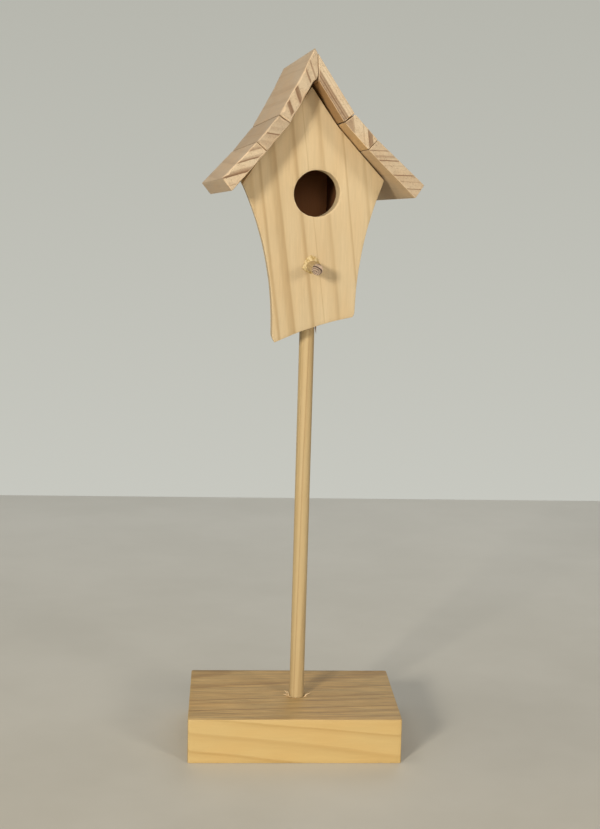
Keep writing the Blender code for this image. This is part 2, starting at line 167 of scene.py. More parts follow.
def timber(name, early, late, grain, normal, across, pitch=3.5, pith=60.0, phase=0.0,
           centre=(0.0, 0.0, 0.0), stops=None, reach=32.0, wobble=0.5, fibre=0.10, blotch=0.10,
           tint=(1.0, 0.9, 0.78), strength=(0.45, 1.0), rough=(0.50, 0.66), bump=0.10,
           ring_bump=0.06, pits=0.0, specular=0.35, fine=5.0):
    """Solid wood, early and late being its pale and dark colours. grain, normal and across are
    directions in the piece's own frame: along the grain, outwards from the pith, and sideways.
    Growth rings are pitch apart, pith being the distance to their middle. stops, if given, sets
    bands one by one instead, across normal from -reach to reach. fibre, blotch and pits set how
    strongly fibres, tinted patches and open pores show, and fine how close the fibres lie."""
    g = Graph(name)
    grain, normal, across = Vector(grain).normalized(), Vector(normal), Vector(across)
    place = g.node("ShaderNodeTexCoord").outputs["Object"]
    p = g.vector("SUBTRACT", g.vector("SCALE", place, scale=1.0 / METRE), centre)
    slow = tuple(0.012 if abs(c) > 0.5 else 0.11 for c in grain)
    bend = g.noise(g.vector("MULTIPLY", p, slow), 1.0, 2.0, 0.45, colour=True)
    bend = g.vector("SCALE", g.vector("SUBTRACT", bend, (0.5, 0.5, 0.5)), scale=2.0 * wobble)
    q = g.vector("ADD", p, bend)
    outwards = g.vector("DOT_PRODUCT", q, tuple(normal))
    if stops:
        late_wood = g.ramp(g.span(outwards, -reach, reach, 0.0, 1.0),
                           [((x + reach) / (2 * reach), value) for x, value in stops])
    else:
        sideways = g.vector("DOT_PRODUCT", q, tuple(across))
        squared = g.math("POWER", g.math("ADD", outwards, pith), 2.0)
        radius = g.math("SQRT", g.math("ADD", squared, g.math("POWER", sideways, 2.0)))
        rings = g.math("ADD", g.math("DIVIDE", radius, pitch), phase)
        uneven = g.node("ShaderNodeTexNoise", {"W": g.math("MULTIPLY", rings, 0.55),
                                               "Scale": 1.0, "Detail": 1.0},
                        noise_dimensions="1D").outputs["Fac"]
        rings = g.math("ADD", rings, g.math("MULTIPLY", uneven, 1.3))
        late_wood = g.ramp(g.math("FRACT", rings),
                           [(0.0, 0.0), (0.42, 0.05), (0.66, 0.4), (0.86, 1.0), (0.93, 0.75),
                            (1.0, 0.0)])
        own = g.node("ShaderNodeTexWhiteNoise", {"W": g.math("FLOOR", rings)},
                     noise_dimensions="1D").outputs["Value"]
        late_wood = g.math("MULTIPLY", late_wood, g.span(own, 0.0, 1.0, *strength))
    streak = tuple(0.05 if abs(c) > 0.5 else 1.0 for c in grain)
    long = g.vector("MULTIPLY", q, streak)
    fibres = g.noise(long, fine * 0.35, 3.0, 0.6)
    hairs = g.noise(long, fine, 2.0, 0.6)
    patch = g.noise(g.vector("MULTIPLY", p, tuple(0.3 if c < 1.0 else 1.0 for c in streak)),
                    0.12, 2.0, 0.5)
    colour = g.mix(late_wood, early, late)
    shade = g.math("ADD", g.math("MULTIPLY", g.math("SUBTRACT", fibres, 0.5), 2.0 * fibre),
                   g.math("MULTIPLY", g.math("SUBTRACT", hairs, 0.5), 1.4 * fibre))
    shade = g.math("ADD", shade, 1.0)
    grey = g.node("ShaderNodeCombineColor", {"Red": shade, "Green": shade, "Blue": shade})
    colour = g.mix(1.0, colour, grey.outputs["Color"], "MULTIPLY")
    tinted = g.mix(1.0, colour, tint, "MULTIPLY")
    colour = g.mix(g.span(patch, 0.35, 0.7, 0.0, blotch * 4.0), colour, tinted)
    height = g.math("ADD", g.math("MULTIPLY", fibres, 0.6), g.math("MULTIPLY", hairs, 0.4))
    if pits:
        cells = g.node("ShaderNodeTexVoronoi", {"Vector": q, "Scale": 2.2, "Randomness": 1.0})
        hollow = g.span(cells.outputs["Distance"], 0.10, 0.36, 1.0, 0.0)
        hollow = g.math("MULTIPLY", hollow, g.span(g.noise(q, 0.5, 2.0, 0.6), 0.42, 0.6, 0.0, 1.0))
        colour = g.mix(g.math("MULTIPLY", hollow, pits), colour, tuple(0.45 * c for c in late))
        height = g.math("SUBTRACT", height, g.math("MULTIPLY", hollow, 0.8 * pits))
    height = g.math("ADD", height, g.math("MULTIPLY", late_wood, ring_bump / max(bump, 0.001)))
    raised = g.node("ShaderNodeBump", {"Height": height, "Strength": 1.0,
                                       "Distance": bump * METRE})
    g.wire(colour, g.shader.inputs["Base Color"])
    g.wire(g.span(fibres, 0.3, 0.7, *rough), g.shader.inputs["Roughness"])
    g.wire(raised.outputs["Normal"], g.shader.inputs["Normal"])
    g.shader.inputs["Specular IOR Level"].default_value = specular
    return g.material


# ------------------------------------------------------------------ outlines, as in the CAD model
def concave_half(foot, shoulder, straight_rise, shoulder_rise, points=40):
    """One concave side of a panel: an arc from the foot out to the shoulder."""
    rise, flare = shoulder_rise - straight_rise, shoulder - foot
    radius = (rise * rise + flare * flare) / (2 * flare)
    ups = [rise * step / points for step in range(points + 1)]
    return [(foot + radius - math.sqrt(radius * radius - up * up), straight_rise + up)
            for up in ups]


def roof_profile(lower_board):
    """The outer and inner lines of one slope, from the ridge to the eaves."""
    boards = (UPPER_BOARD, MIDDLE_BOARD, lower_board)
    outer = [(0.0, RIDGE_RISE)]
    for width, slope in boards:
        x, z = outer[-1]
        outer.append((x + width * math.cos(slope), z - width * math.sin(slope)))
    first, last = boards[0][1], boards[-1][1]
    inner = [(0.0, RIDGE_RISE - ROOF_THICKNESS / math.cos(first))]
    for index in (1, 2):
        above, below = boards[index - 1][1], boards[index][1]
        middle, reach = (above + below) / 2, ROOF_THICKNESS / math.cos((above - below) / 2)
        x, z = outer[index]
        inner.append((x - reach * math.sin(middle), z - reach * math.cos(middle)))
    x, z = outer[3]
    inner.append((x - ROOF_THICKNESS * math.sin(last),
                  z - ROOF_THICKNESS * math.cos(last) - EAVE_DROP))
    return outer, inner


def underside(distance):
    """Height of the roof's underside at a distance from the ridge."""
    inner = roof_profile(LOWER_RIGHT_BOARD)[1]
    for (x0, z0), (x1, z1) in zip(inner, inner[1:]):
        if distance <= x1:
            break
    return z0 + (z1 - z0) * (distance - x0) / (x1 - x0)


def gable(peak_drop, half, rise):
    """The top of a panel under the roof, from its right shoulder to its left one."""
    cosine = math.cos(PANEL_LEAN)
    inner = roof_profile(LOWER_RIGHT_BOARD)[1]
    clear = GABLE_CLEARANCE + PANEL_THICKNESS / 2 * math.sin(PANEL_LEAN)
    right = [(RIDGE_SHIFT + x, (z - clear) / cosine) for x, z in inner[1:3]]
    left = [(RIDGE_SHIFT - x, (z - clear) / cosine) for x, z in inner[1:3]]
    peak = (RIDGE_SHIFT, (inner[0][1] - peak_drop) / cosine)
    return ([(PANEL_SHIFT + half, rise)] + right[::-1] + [peak] + left
            + [(PANEL_SHIFT - half, rise)])


def front_outline():
    """The front: a slanted, slightly arched foot, concave sides and the gable."""
    right_side, left_side = (
        concave_half(half, FRONT_SHOULDER_HALF, FRONT_STRAIGHT_RISE, FRONT_SHOULDER_RISE)[1:-1]
        for half in (FRONT_FOOT_HALF, FRONT_FOOT_HALF_LEFT))
    low = Vector((PANEL_SHIFT - FRONT_FOOT_HALF_LEFT + FRONT_CORNER, FRONT_FOOT_LEFT))
    high = Vector((PANEL_SHIFT + FRONT_FOOT_HALF - FRONT_CORNER, FRONT_FOOT_RIGHT))
    foot, parts = [], 12
    for step in range(parts + 1):
        share = step / parts
        point = low.lerp(high, share)
        foot.append((point.x, point.y + FRONT_FOOT_ARCH * 4 * share * (1 - share)))
    corner_rise = FRONT_FOOT_RIGHT + 2 * FRONT_CORNER
    right = [(PANEL_SHIFT + FRONT_FOOT_HALF, corner_rise)]
    right += [(PANEL_SHIFT + x, z) for x, z in right_side if z > corner_rise + FRONT_CORNER]
    left = [(PANEL_SHIFT - x, z) for x, z in left_side]
    top = gable(FRONT_PEAK_DROP, FRONT_SHOULDER_HALF, FRONT_SHOULDER_RISE)
    corner_left = (PANEL_SHIFT - FRONT_FOOT_HALF_LEFT, FRONT_FOOT_LEFT + 3 * FRONT_CORNER)
    return foot + right + top + left[::-1] + [corner_left]


def back_outline():
    """The back: a level foot, concave sides and the gable."""
    side = concave_half(BACK_FOOT_HALF, BACK_SHOULDER_HALF, BACK_STRAIGHT_RISE,
                        BACK_SHOULDER_RISE)
    foot = [(PANEL_SHIFT + x, BACK_FOOT_RISE) for x in (-BACK_FOOT_HALF, BACK_FOOT_HALF)]
    right = [(PANEL_SHIFT + x, z) for x, z in side[:-1]]
    left = [(PANEL_SHIFT - x, z) for x, z in side[:-1]]
    top = gable(BACK_PEAK_DROP, BACK_SHOULDER_HALF, BACK_SHOULDER_RISE)
    return foot + right + top + left[::-1]


def wall_outline():
    """A side wall between the leaning panels, from its foot up to the roof's underside."""
    foot = PANEL_FOOT - PANEL_THICKNESS / math.cos(PANEL_LEAN) - GAP
    start = WALL_FOOT_HALF + abs(RIDGE_SHIFT - PANEL_SHIFT)
    top = underside(start)
    for _ in range(8):
        distance = start + (top - WALL_FOOT_RISE) * math.tan(WALL_LEAN)
        top = underside(distance) - GABLE_CLEARANCE
    slope = math.tan(PANEL_LEAN)
    corners = ((WALL_FOOT_RISE, -1), (WALL_FOOT_RISE, 1), (top, 1), (top, -1))
    return [(side * (foot + rise * slope), (rise - WALL_FOOT_RISE) / math.cos(WALL_LEAN))
            for rise, side in corners]


def floor_outline():
    """The floor board between the walls and the panels."""
    half = WALL_FOOT_HALF + (FLOOR_RISE - WALL_FOOT_RISE) * math.tan(WALL_LEAN)
    half -= WALL_THICKNESS / math.cos(WALL_LEAN) + GAP
    depth = PANEL_FOOT - PANEL_THICKNESS / math.cos(PANEL_LEAN) - GAP
    depth += FLOOR_RISE * math.tan(PANEL_LEAN)
    return [(PANEL_SHIFT - half, -depth), (PANEL_SHIFT + half, -depth),
            (PANEL_SHIFT + half, depth), (PANEL_SHIFT - half, depth)]


def round_loop(x, y, radius, count):
    """A hole's loop, run clockwise so that the wood is on its left."""
    return [(x + radius * math.cos(-math.tau * i / count),
             y + radius * math.sin(-math.tau * i / count)) for i in range(count)]


# ------------------------------------------------------------------ placing, in millimetres
pole_direction = Vector((math.sin(POLE_LEAN), 0.0, math.cos(POLE_LEAN)))
house = (Matrix.Translation(POLE_FOOT + pole_direction * POLE_REACH)
         @ Matrix.Rotation(HOUSE_YAW, 4, "Z") @ Matrix.Rotation(HOUSE_PITCH, 4, "X")
         @ Matrix.Rotation(HOUSE_ROLL, 4, "Y"))


def panel_place(facing):
    """Where a panel stands in the house: facing is 1 for the front and -1 for the back."""
    turn = Matrix.Rotation(math.radians(90) + facing * PANEL_LEAN, 4, "X")
    inwards = Vector((0.0, facing * math.cos(PANEL_LEAN), math.sin(PANEL_LEAN)))
    foot = Vector((0.0, -facing * PANEL_FOOT, 0.0)) + inwards * (PANEL_THICKNESS / 2)
    return Matrix.Translation(foot) @ turn


def wall_place(side):
    """Where a side wall stands in the house: side is -1 for the left and 1 for the right."""
    foot = Vector((PANEL_SHIFT + side * WALL_FOOT_HALF, 0.0, WALL_FOOT_RISE))
    upright = Matrix(((0, 0, 1, 0), (1, 0, 0, 0), (0, 1, 0, 0), (0, 0, 0, 1)))
    inset = Matrix.Translation((-side * WALL_THICKNESS / 2, 0.0, 0.0))
    return Matrix.Translation(foot) @ Matrix.Rotation(side * WALL_LEAN, 4, "Y") @ inset @ upright


def along(start, direction):
    """A place at start whose Z runs in direction."""
    return Matrix.Translation(start) @ direction.to_track_quat("Z", "Y").to_matrix().to_4x4()


def in_metres(place):
    moved = place.copy()
    moved.translation = place.translation * METRE
    return moved


def add_piece(name, shape, place, materials, node, sharp=50):
    """Makes the object from a bmesh in millimetres, and puts it in the frame."""
    bmesh.ops.scale(shape, vec=(METRE,) * 3, verts=shape.verts)
    mesh = bpy.data.meshes.new(name)
    shape.to_mesh(mesh)
    shape.free()
    for material in materials:
        mesh.materials.append(material)
    mesh.shade_smooth()
    mesh.set_sharp_from_angle(angle=math.radians(sharp))
    made = bpy.data.objects.new(name, mesh)
    made.matrix_world = in_metres(place)
    bpy.context.scene.collection.objects.link(made)
    bpy.context.view_layer.update()
    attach(made, "root")
    if node:
        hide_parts(node)
    return made


# ------------------------------------------------------------------ boards as fine closed meshes
def wave(x, y, z, size, seed):
    """Smooth noise from 0 to 1."""
    return 0.5 + 0.5 * noise.noise(Vector((x / size + 17.3 * seed, y / size - 5.1 * seed,
                                           z / size + 3.7 * seed)))


def densify(loop, step):
    """The loop with a point about every step."""
    points = []
    for a, b in zip(loop, loop[1:] + loop[:1]):
        a, b = Vector(a), Vector(b)
        count = max(1, round((b - a).length / step))
        points += [a.lerp(b, i / count) for i in range(count)]
    return points


def smooth(loop, passes):
    """The loop with its corners softened."""
    for _ in range(passes):
        loop = [(loop[i - 1] + loop[i] * 2 + loop[(i + 1) % len(loop)]) / 4
                for i in range(len(loop))]
    return loop


def left_normals(loop):
    """At each point, the direction at right angles to the loop, on its left."""
    out = []
    for i in range(len(loop)):
        run = loop[(i + 1) % len(loop)] - loop[i - 1]
        out.append(Vector((-run.y, run.x)).normalized())
    return out


def room_at_corners(outline):
    """How far in a border may move near each corner of an outline before it folds over."""
    points, corners = [Vector(p) for p in outline], []
    for i, here in enumerate(points):
        back, on = points[i - 1] - here, points[(i + 1) % len(points)] - here
        turn = math.atan2(on.x * back.y - on.y * back.x, on.dot(back)) % math.tau
        if turn < math.radians(150):
            corners.append((here, 0.7 * math.tan(turn / 2)))

    def room(point):
        return min([max(0.01, (point - here).length - 0.25) * rate for here, rate in corners]
                   + [9.0])

    return room


def inside(point, loop):
    """Whether the point lies within the loop."""
    hit = False
    for a, b in zip(loop, loop[1:] + loop[:1]):
        if (a.y > point.y) != (b.y > point.y):
            if point.x < (b.x - a.x) * (point.y - a.y) / (b.y - a.y) + a.x:
                hit = not hit
    return hit


def slab(outline, thickness, holes=(), step=0.8, inner=1.6, rows=6, ease=(0.25, 0.35),
         waver=0.12, relief=0.05, seed=1, passes=2, side_relief=0.05, extra=None, far_face=0):
    """A board: outline run counter-clockwise in XY, thickness along Z, centred. Every edge is
    eased by an uneven amount and every side wavers inwards a little. The +Z face gets material
    0, the sides material 1 and the -Z face material far_face. A hole is (loop, ease, waver,
    depth, drift): depth is None if it goes through and otherwise measured down from +Z, and
    drift is how far it strays in X and Y for each millimetre of depth. extra(x, y, side) can
    wear an edge further."""
    half = thickness / 2
    shape = bmesh.new()
    loops = [(smooth(densify(outline, step), passes), ease, waver, None, (0.0, 0.0))]
    loops += [(densify(loop, step * 0.6), *rest) for loop, *rest in holes]
    caps = {1: [], -1: []}                  # rings of verts at the two faces
    room = room_at_corners(outline)
    for index, (loop, edge, rough, depth, drift) in enumerate(loops):
        normals = left_normals(loop)
        own = seed + 7 * index
        levels = []
        low = -half if depth is None else half - depth
        for side, level in ((1, half), (-1, low)):
            if depth is not None and side == -1:
                levels.append((side, level, 0.0, 0.0))
                continue
            for inwards, down in ((1.0, 0.0), (ROUNDING, ROUNDING), (0.0, 1.0)):
                levels.append((side, level, inwards, down))
        top = [entry for entry in levels if entry[0] == 1]
        bottom = [entry for entry in levels if entry[0] == -1][::-1]
        middle = [(0, half + (low - half) * row / (rows + 1), 0.0, 0.0)
                  for row in range(1, rows + 1)]
        rings = []
        for side, level, inwards, down in top + middle + bottom:
            ring = []
            for point, normal in zip(loop, normals):
                amount = edge[0] + edge[1] * wave(point.x, point.y, side * 40, 2.6, own) ** 2
                if extra and side:
                    amount += extra(point.x, point.y, side)
                z = level - side * amount * down
                shift = (amount * inwards
                         + rough * wave(point.x, point.y, z * 0.3, 7.0, own + 1)
                         + side_relief * (3 if index else 1)
                         * wave(point.x, point.y, z, 0.9 if index else 1.6, own + 2))
                if index == 0:
                    shift = min(shift, room(point))
                spot = point + normal * shift
                spot += Vector(drift) * (half - z)
                ring.append(shape.verts.new((spot.x, spot.y, z)))
            rings.append(ring)
        for upper, lower in zip(rings, rings[1:]):
            count = len(upper)
            for i in range(count):
                j = (i + 1) % count
                made = shape.faces.new((upper[j], upper[i], lower[i], lower[j]))
                made.material_index = 1
        caps[1].append(rings[0])
        if depth is None:
            caps[-1].append(rings[-1])
        else:
            centre = shape.verts.new((*(sum(loop, Vector((0, 0))) / len(loop)), low))
            for i in range(len(rings[-1])):
                j = (i + 1) % len(rings[-1])
                shape.faces.new((rings[-1][j], rings[-1][i], centre)).material_index = 1
    chance = random.Random(seed)
    for side, sets in caps.items():
        verts = [vert for ring in sets for vert in ring]
        flat = [Vector((vert.co.x, vert.co.y)) for vert in verts]
        edges, start = [], 0
        for ring in sets:
            count = len(ring)
            edges += [(start + i, start + (i + 1) % count) for i in range(count)]
            start += count
        borders = [[Vector((vert.co.x, vert.co.y)) for vert in ring] for ring in sets]
        xs, ys = [p.x for p in borders[0]], [p.y for p in borders[0]]
        near = {(round(p.x / inner), round(p.y / inner)) for border in borders for p in border}
        x = min(xs)
        while x < max(xs):
            y = min(ys)
            while y < max(ys):
                spot = Vector((x + chance.uniform(-0.3, 0.3) * inner,
                               y + chance.uniform(-0.3, 0.3) * inner))
                cell = (round(spot.x / inner), round(spot.y / inner))
                if cell not in near and inside(spot, borders[0]) and not any(
                        inside(spot, border) for border in borders[1:]):
                    drop = relief * wave(spot.x, spot.y, side * 9, 3.4, seed)
                    verts.append(shape.verts.new((spot.x, spot.y, side * (half - drop))))
                    flat.append(spot)
                y += inner
            x += inner
        _, _, faces, origins, _, _ = geometry.delaunay_2d_cdt(flat, edges, [], 1, 1e-6)
        for face in faces:
            corners = [verts[origins[i][0]] for i in face]
            middle = sum((v.co for v in corners), Vector()) / 3
            if any(inside(Vector((middle.x, middle.y)), border) for border in borders[1:]):
                continue
            if side == -1:
                corners.reverse()
            shape.faces.new(corners).material_index = 0 if side == 1 else far_face
    bmesh.ops.recalc_face_normals(shape, faces=shape.faces)
    return shape


def rod(radius, length, sides, rows, ends=(0.25, 0.25), waver=0.03, seed=1, dish=0.0):
    """A round bar along +Z from the origin, its surface uneven by up to waver and its ends
    eased by ends and hollowed by up to dish. The ends get material 0 and the side material 1."""
    shape = bmesh.new()
    body = rows + 1
    knees = [ROUNDING * end for end in ends]
    levels = [(0.0, radius - ends[0]), (knees[0], radius - knees[0]), (ends[0], radius)]
    levels += [(ends[0] + (length - ends[0] - ends[1]) * i / body, radius)
               for i in range(1, body)]
    levels += [(length - ends[1], radius), (length - knees[1], radius - knees[1]),
               (length, radius - ends[1])]
    rings = []
    for z, reach in levels:
        ring = []
        for i in range(sides):
            turn = math.tau * i / sides
            x, y = math.cos(turn), math.sin(turn)
            out = reach - waver * wave(x * 2, y * 2, z * 0.12, 1.0, seed)
            ring.append(shape.verts.new((x * out, y * out, z)))
        rings.append(ring)
    for lower, upper in zip(rings, rings[1:]):
        for i in range(sides):
            j = (i + 1) % sides
            shape.faces.new((lower[i], lower[j], upper[j], upper[i])).material_index = 1
    for ring, side in ((rings[0], -1), (rings[-1], 1)):
        last, z0 = ring, ring[0].co.z
        inner_rings = 6
        for k in range(1, inner_rings):
            share = 1 - k / inner_rings
            made = []
            for i in range(sides):
                turn = math.tau * i / sides
                x, y = (radius * share * f for f in (math.cos(turn), math.sin(turn)))
                drop = dish * wave(x * 3, y * 3, side, 1.0, seed + 3)
                made.append(shape.verts.new((x, y, z0 - side * drop)))
            for i in range(sides):
                j = (i + 1) % sides
                shape.faces.new((last[i], last[j], made[j], made[i])).material_index = 0
            last = made
        tip = shape.verts.new((0, 0, z0))
        for i in range(sides):
            j = (i + 1) % sides
            shape.faces.new((last[i], last[j], tip)).material_index = 0
    bmesh.ops.recalc_face_normals(shape, faces=shape.faces)
    return shape


def sliver(shape, start, end, width, thick, up):
    """A torn fibre: a thin closed wedge from start to a point at end."""
    run = (end - start).normalized()
    side = run.cross(up).normalized()
    rings = []
    for share in (0.0, 0.3, 0.6, 0.85):
        centre = start.lerp(end, share) + up * (thick * math.sin(share * 2.6))
        w, t = width * (1 - share ** 1.5) / 2, thick * (1 - share) / 2 + 0.03
        rings.append([shape.verts.new(centre + side * (w * a) + up * (t * b))
                      for a, b in ((-1, -1), (1, -1), (1, 1), (-1, 1))])
    for a, b in zip(rings, rings[1:]):
        for i in range(4):
            j = (i + 1) % 4
            shape.faces.new((a[i], a[j], b[j], b[i]))
    shape.faces.new(rings[0][::-1])
    tip = shape.verts.new(end)
    for i in range(4):
        shape.faces.new((rings[-1][i], rings[-1][(i + 1) % 4], tip))


# ------------------------------------------------------------------ woods
PALE, PALE_LATE = (0.54, 0.42, 0.25), (0.375, 0.26, 0.125)
SAWN, SAWN_LATE = (0.56, 0.43, 0.285), (0.38, 0.26, 0.155)
END, END_LATE = (0.51, 0.41, 0.28), (0.19, 0.11, 0.06)
BASE_PALE, BASE_LATE = (0.54, 0.38, 0.155), (0.455, 0.305, 0.112)
DOWEL_PALE, DOWEL_LATE = (0.49, 0.365, 0.185), (0.37, 0.25, 0.115)

# growth bands of the front panel: (place across the panel at MIDDLE_RISE, how dark)
SLANT, MIDDLE_RISE = 0.11, 39.0
front_bands = [(-27.5, 0.45), (-24.5, 0.35), (-22.4, 0.55), (-21.3, 0.10), (-19.6, 0.10),
               (-18.3, 0.75), (-17.4, 0.10), (-15.4, 0.15), (-13.4, 0.60), (-11.6, 0.85),
               (-10.8, 0.20), (-9.0, 0.05), (-5.2, 0.15), (-3.3, 0.75), (-2.4, 0.12),
               (1.0, 0.0), (1.3, 0.55), (1.6, 0.0), (5.4, 0.10), (7.9, 0.50), (8.8, 0.05),
               (15.6, 0.0), (16.5, 0.60), (16.9, 0.0), (22.6, 0.05), (24.3, 0.50), (25.0, 0.10),
               (28.0, 0.25)]
front_face = timber("pine front face", PALE, PALE_LATE, (0, 1, 0), (1, SLANT, 0), (0, 0, 1),
                    stops=[(x + SLANT * MIDDLE_RISE, value) for x, value in front_bands],
                    reach=36.0, wobble=0.55, fibre=0.11, blotch=0.10, bump=0.05, ring_bump=0.02,
                    fine=2.4, rough=(0.46, 0.6))
panel_edge = timber("pine panel edge", tuple(1.1 * c for c in PALE), PALE, (0, 1, 0),
                    (0.35, SLANT, 0.9), (0.9, 0, -0.35), pitch=2.6, pith=70, fibre=0.12,
                    rough=(0.6, 0.75), bump=0.12)
# The inside of the house is painted dark: painted shade for the shade in the closed box, on the
# back panel's inner face and on the floor.
inside_painted_shade = timber("pine inside", (0.30, 0.115, 0.033), (0.27, 0.10, 0.028), (0, 1, 0),
                    (0.9, 0.06, 0.3), (-0.3, 0, 0.9), pitch=4.2, pith=40, phase=0.4,
                    wobble=0.8, fibre=0.06, strength=(0.1, 0.4), rough=(0.6, 0.75), bump=0.12)
# The walls' inner faces are painted darker still: painted shade inside the box, where the lamps
# would light them.
wall_inside_painted_shade = timber("pine wall inside", (0.13, 0.05, 0.015), (0.105, 0.04, 0.012), (0, 1, 0),
                     (0.9, 0.06, 0.3), (-0.3, 0, 0.9), pitch=4.2, pith=40, phase=0.1,
                     wobble=0.8, fibre=0.08, rough=(0.6, 0.75), bump=0.12)
back_face = timber("pine back face", PALE, PALE_LATE, (0, 1, 0), (0.8, 0.05, 0.5),
                   (-0.5, 0, 0.8), pitch=4.4, pith=38, phase=0.7, wobble=0.9, fibre=0.06,
                   bump=0.07)


def roof_woods(name, normal, centre, rings, light=1.0, wobble=0.35, underside_painted_shade=(1.0, 1.0, 1.0)):
    """The end grain, the long faces and the underside of one roof board. Its grain runs front
    to back, and rings are set along normal as (millimetres from the board's centre, how dark).
    The underside is a darker, tinted copy of the long grain: painted shade on the faces that look
    down."""
    nx, ny = normal
    across = (-ny, nx, 0)
    end = timber(name + " end grain", tuple(light * c for c in END), END_LATE, (0, 0, 1),
                 (nx, ny, 0.02), across, centre=(*centre, ROOF_DEPTH / 2), stops=rings,
                 reach=12.0, wobble=wobble, fibre=0.20, blotch=0.16, tint=(0.96, 0.86, 0.78),
                 rough=(0.7, 0.85), bump=0.18, ring_bump=0.10, pits=0.75, specular=0.2,
                 fine=3.2)
    long_rings = [(x, 0.3 * value) for x, value in rings]
    faces = []
    # the underside copy is darkened by the painted shade tint
    for part, tone in ((" long grain", (1.0, 1.0, 1.0)), (" underside", underside_painted_shade)):
        sawn = tuple(light * t * c for t, c in zip(tone, SAWN))
        faces.append(timber(name + part, sawn, SAWN_LATE, (0, 0, 1), (nx, ny, 0.03), across,
                            centre=(*centre, ROOF_DEPTH / 2), stops=long_rings, reach=12.0,
                            wobble=wobble + 0.5, fibre=0.13, blotch=0.14, rough=(0.58, 0.74),
                            bump=0.12, fine=2.6))
    return [end, *faces]


roof_look = {
    "roof_left_upper": roof_woods(
        "left upper", (0.95, 0.31), (-6.5, 96.5),
        [(-10, 0.15), (-7.7, 0.12), (-7.1, 0.8), (-6.2, 0.95), (-5.6, 0.1), (-4.0, 0.05),
         (-3.0, 0.2), (-2.4, 0.95), (-1.3, 0.75), (-0.8, 0.08), (1.2, 0.05), (3.2, 0.15),
         (4.0, 0.85), (4.5, 0.15), (5.9, 0.1), (6.4, 0.7), (7.0, 0.1), (9.5, 0.25)]),
    "roof_left_middle": roof_woods(
        "left middle", (0.19, 0.98), (-18.6, 79.6),
        [(-6, 0.15), (-3.4, 0.3), (-2.6, 0.12), (-0.5, 0.3), (-0.05, 1.0), (0.35, 0.12),
         (2.4, 0.35), (2.9, 0.15), (5.5, 0.3)], light=0.9),
    "roof_left_lower": roof_woods(
        "left lower", (-0.24, 0.97), (-29.9, 67.6),
        [(-9, 0.2), (-6.4, 0.1), (-6.0, 0.5), (-5.4, 0.08), (-3.0, 0.05), (-2.7, 1.0),
         (-1.5, 0.55), (-0.7, 0.06), (1.2, 0.04), (1.5, 0.95), (2.3, 0.4), (3.0, 0.05),
         (4.3, 0.08), (4.7, 0.65), (5.8, 0.35), (8.0, 0.1)], light=1.06),
    # this board's underside gets the darkest painted shade
    "roof_right_upper": roof_woods(
        "right upper", (0.853, 0.522), (4.5, 97.5),
        [(-2.8, 0.6), (-2.2, 0.85), (-1.9, 0.5), (-1.3, 0.95), (-0.9, 0.55), (-0.5, 0.8),
         (-0.15, 0.5), (0.1, 0.0), (0.8, 0.0), (1.0, 0.3), (1.2, 0.0), (1.8, 0.0),
         (2.0, 0.25), (2.2, 0.0), (2.8, 0.1)], light=1.08, wobble=0.2,
        underside_painted_shade=(0.66, 0.50, 0.30)),
    "roof_right_middle": roof_woods(
        "right middle", (0.995, 0.10), (17.2, 79.6),
        [(-8.0, 0.4), (-3.7, 0.6), (-3.1, 0.45), (-2.8, 0.03), (0.3, 0.05), (0.5, 0.5),
         (0.7, 0.02), (1.9, 0.05), (2.2, 0.85), (3.6, 0.75), (4.0, 0.1), (7.0, 0.2)],
        light=1.06, wobble=0.25, underside_painted_shade=(1.0, 0.9, 0.68)),
    "roof_right_lower": roof_woods(
        "right lower", (0.06, 1.0), (30.9, 65.4),
        [(-10, 0.2), (-8.1, 0.2), (-7.8, 0.9), (-7.5, 0.15), (-5.3, 0.2), (-5.0, 0.6),
         (-4.8, 0.15), (-3.0, 0.25), (-2.7, 1.0), (-2.3, 0.15), (0.7, 0.1), (0.9, 0.45),
         (1.1, 0.1), (2.5, 0.2), (2.8, 1.0), (3.3, 0.15), (4.6, 0.55), (4.9, 0.15),
         (6.2, 0.15), (6.5, 0.85), (6.8, 0.15), (9.0, 0.25)], light=1.0, wobble=0.25,
        underside_painted_shade=(1.0, 0.97, 0.88)),
}
base_top = timber("pine base top", (0.50, 0.335, 0.14), (0.36, 0.225, 0.09), (1, 0, 0),
                  (0.078, -0.78, 1.0), (0, 1.0, 0.78), pitch=5.6, pith=60, phase=0.2,
                  wobble=0.9, fibre=0.55, blotch=0.14, rough=(0.42, 0.58), bump=0.07, fine=2.6)
base_side = timber("pine base side", BASE_PALE, BASE_LATE, (1, 0, 0), (0.078, -0.78, 1.0),
                   (0, 1.0, 0.78), pitch=5.6, pith=60, phase=0.2, wobble=0.9, fibre=0.05,
                   blotch=0.10, rough=(0.42, 0.58), bump=0.04)
dowel_side = timber("dowel side", DOWEL_PALE, DOWEL_LATE, (0, 0, 1), (0.8, 0.6, 0.01),
                    (-0.6, 0.8, 0), pitch=1.5, pith=30, wobble=0.2, fibre=0.07, blotch=0.08,
                    rough=(0.42, 0.56), bump=0.05, fine=3.0)
dowel_end = timber("dowel end", (0.46, 0.34, 0.25), (0.02, 0.010, 0.006), (0, 0, 1),
                   (0.8, 0.6, 0.0), (-0.6, 0.8, 0), pitch=0.95, pith=1.6, wobble=3.2,
                   strength=(0.9, 1.0), fibre=0.35, rough=(0.75, 0.9), bump=0.3, pits=1.0,
                   specular=0.2, fine=12.0)


